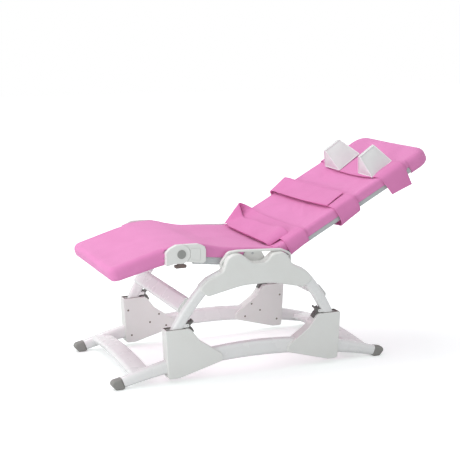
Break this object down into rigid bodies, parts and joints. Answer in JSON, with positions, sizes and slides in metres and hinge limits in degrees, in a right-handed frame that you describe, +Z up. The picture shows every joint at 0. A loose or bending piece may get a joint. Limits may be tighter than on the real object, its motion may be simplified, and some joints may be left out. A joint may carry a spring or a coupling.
{
  "type": "child bath chair",
  "caption": "Reclining bath chair for a child: pink cloth sling in three hinged parts on a white side frame that lifts off its floor stand.",
  "frame": {"origin": "floor level under the middle of the object's bounding box", "axes": "+X from the calf end to the head end, +Y across the seat to the user's left, +Z up"},
  "size_m": [1.2508, 0.5792, 0.7863],
  "materials": {
    "white_paint": "gloss powder coat",
    "white_plastic": "satin moulded",
    "grey_tube": "satin powder coat",
    "grey_rubber": "matte",
    "dark_rubber": "matte",
    "grey_plastic": "matte moulded",
    "steel": "zinc plated",
    "pink_cloth": "open mesh with foam",
    "white_foam": "foam covered in fine knit"
  },
  "bodies": {
    "stand": {"stand_rail_left": "white_paint", "stand_rail_right": "white_paint", "foot_cap_front_left": "grey_rubber", "foot_cap_front_right": "grey_rubber", "foot_cap_rear_left": "grey_rubber", "foot_cap_rear_right": "grey_rubber", "base_cross_tube_front": "white_paint", "base_cross_tube_rear": "white_paint", "leg_bracket_outer_front_left": "white_plastic", "leg_bracket_outer_front_right": "white_plastic", "leg_bracket_outer_rear_left": "white_plastic", "leg_bracket_outer_rear_right": "white_plastic", "leg_bracket_inner_front_left": "white_plastic", "leg_bracket_inner_front_right": "white_plastic", "leg_bracket_inner_rear_left": "white_plastic", "leg_bracket_inner_rear_right": "white_plastic", "bracket_screws": "steel", "leg_socket_liners": "dark_rubber"},
    "chair": {"arch_tube_left": "white_paint", "arch_tube_right": "white_paint", "latch_pins": "steel", "wave_cover_outer_left": "white_plastic", "wave_cover_outer_right": "white_plastic", "wave_cover_inner_left": "white_plastic", "wave_cover_inner_right": "white_plastic", "arch_cross_tube_front": "white_paint", "arch_cross_tube_rear": "white_paint", "seat_rail_left": "grey_tube", "seat_rail_right": "grey_tube", "hip_housing_left": "white_plastic", "hip_housing_right": "white_plastic", "seat_bolts": "steel", "knee_housing_seat_left": "white_plastic", "knee_housing_seat_right": "white_plastic", "hinge_pins": "steel", "knee_pin_caps": "grey_plastic", "knee_cross_tube": "white_paint", "seat_cloth": "pink_cloth"},
    "back": {"back_rail_left": "grey_tube", "back_rail_right": "grey_tube", "head_bow": "grey_tube", "back_cloth": "pink_cloth", "hip_strap": "pink_cloth", "chest_strap": "pink_cloth", "head_strap": "pink_cloth", "head_block_left": "white_foam", "head_block_right": "white_foam"},
    "calf": {"calf_rail_left": "grey_tube", "calf_rail_right": "grey_tube", "foot_bow": "grey_tube", "knee_housing_calf_left": "white_plastic", "knee_housing_calf_right": "white_plastic", "calf_cloth": "pink_cloth"},
    "latch_front_left": {"latch_lever_front_left": "grey_plastic"},
    "latch_front_right": {"latch_lever_front_right": "grey_plastic"},
    "latch_rear_left": {"latch_lever_rear_left": "grey_plastic"},
    "latch_rear_right": {"latch_lever_rear_right": "grey_plastic"},
    "tab_left": {"knee_release_tab_left": "grey_plastic"},
    "tab_right": {"knee_release_tab_right": "grey_plastic"}
  },
  "joints": [
    {"name": "chair_lift", "type": "slide", "parent": "stand", "child": "chair", "axis": [0, 0, 1], "range_m": [0, 0.08]},
    {"name": "back_recline", "type": "hinge", "parent": "chair", "child": "back", "pos_m": [-0.0006, 0, 0.415], "axis": [0, -1, 0], "range_deg": [-23, 42]},
    {"name": "calf_fold", "type": "hinge", "parent": "chair", "child": "calf", "pos_m": [-0.3701, 0, 0.457], "axis": [0, 1, 0], "range_deg": [-45, 20]},
    {"name": "latch_front_left_turn", "type": "hinge", "parent": "chair", "child": "latch_front_left", "pos_m": [-0.3496, -0.24458, 0.20391], "axis": [0, -0.9936, -0.1132], "range_deg": [0, 11], "stiffness_Nm_per_rad": 0.6, "springref_deg": -11.46},
    {"name": "latch_front_right_turn", "type": "hinge", "parent": "chair", "child": "latch_front_right", "pos_m": [-0.3496, 0.24458, 0.20391], "axis": [0, -0.9936, 0.1132], "range_deg": [0, 11], "stiffness_Nm_per_rad": 0.6, "springref_deg": -11.46},
    {"name": "latch_rear_left_turn", "type": "hinge", "parent": "chair", "child": "latch_rear_left", "pos_m": [0.1644, -0.24458, 0.20391], "axis": [0, 0.9936, 0.1132], "range_deg": [0, 11], "stiffness_Nm_per_rad": 0.6, "springref_deg": -11.46},
    {"name": "latch_rear_right_turn", "type": "hinge", "parent": "chair", "child": "latch_rear_right", "pos_m": [0.1644, 0.24458, 0.20391], "axis": [0, 0.9936, -0.1132], "range_deg": [0, 11], "stiffness_Nm_per_rad": 0.6, "springref_deg": -11.46},
    {"name": "tab_left_press", "type": "slide", "parent": "calf", "child": "tab_left", "axis": [0, 0, 1], "range_m": [0, 0.0045], "stiffness_N_per_m": 400, "springref_m": -0.003},
    {"name": "tab_right_press", "type": "slide", "parent": "calf", "child": "tab_right", "axis": [0, 0, 1], "range_m": [0, 0.0045], "stiffness_N_per_m": 400, "springref_m": -0.003}
  ]
}
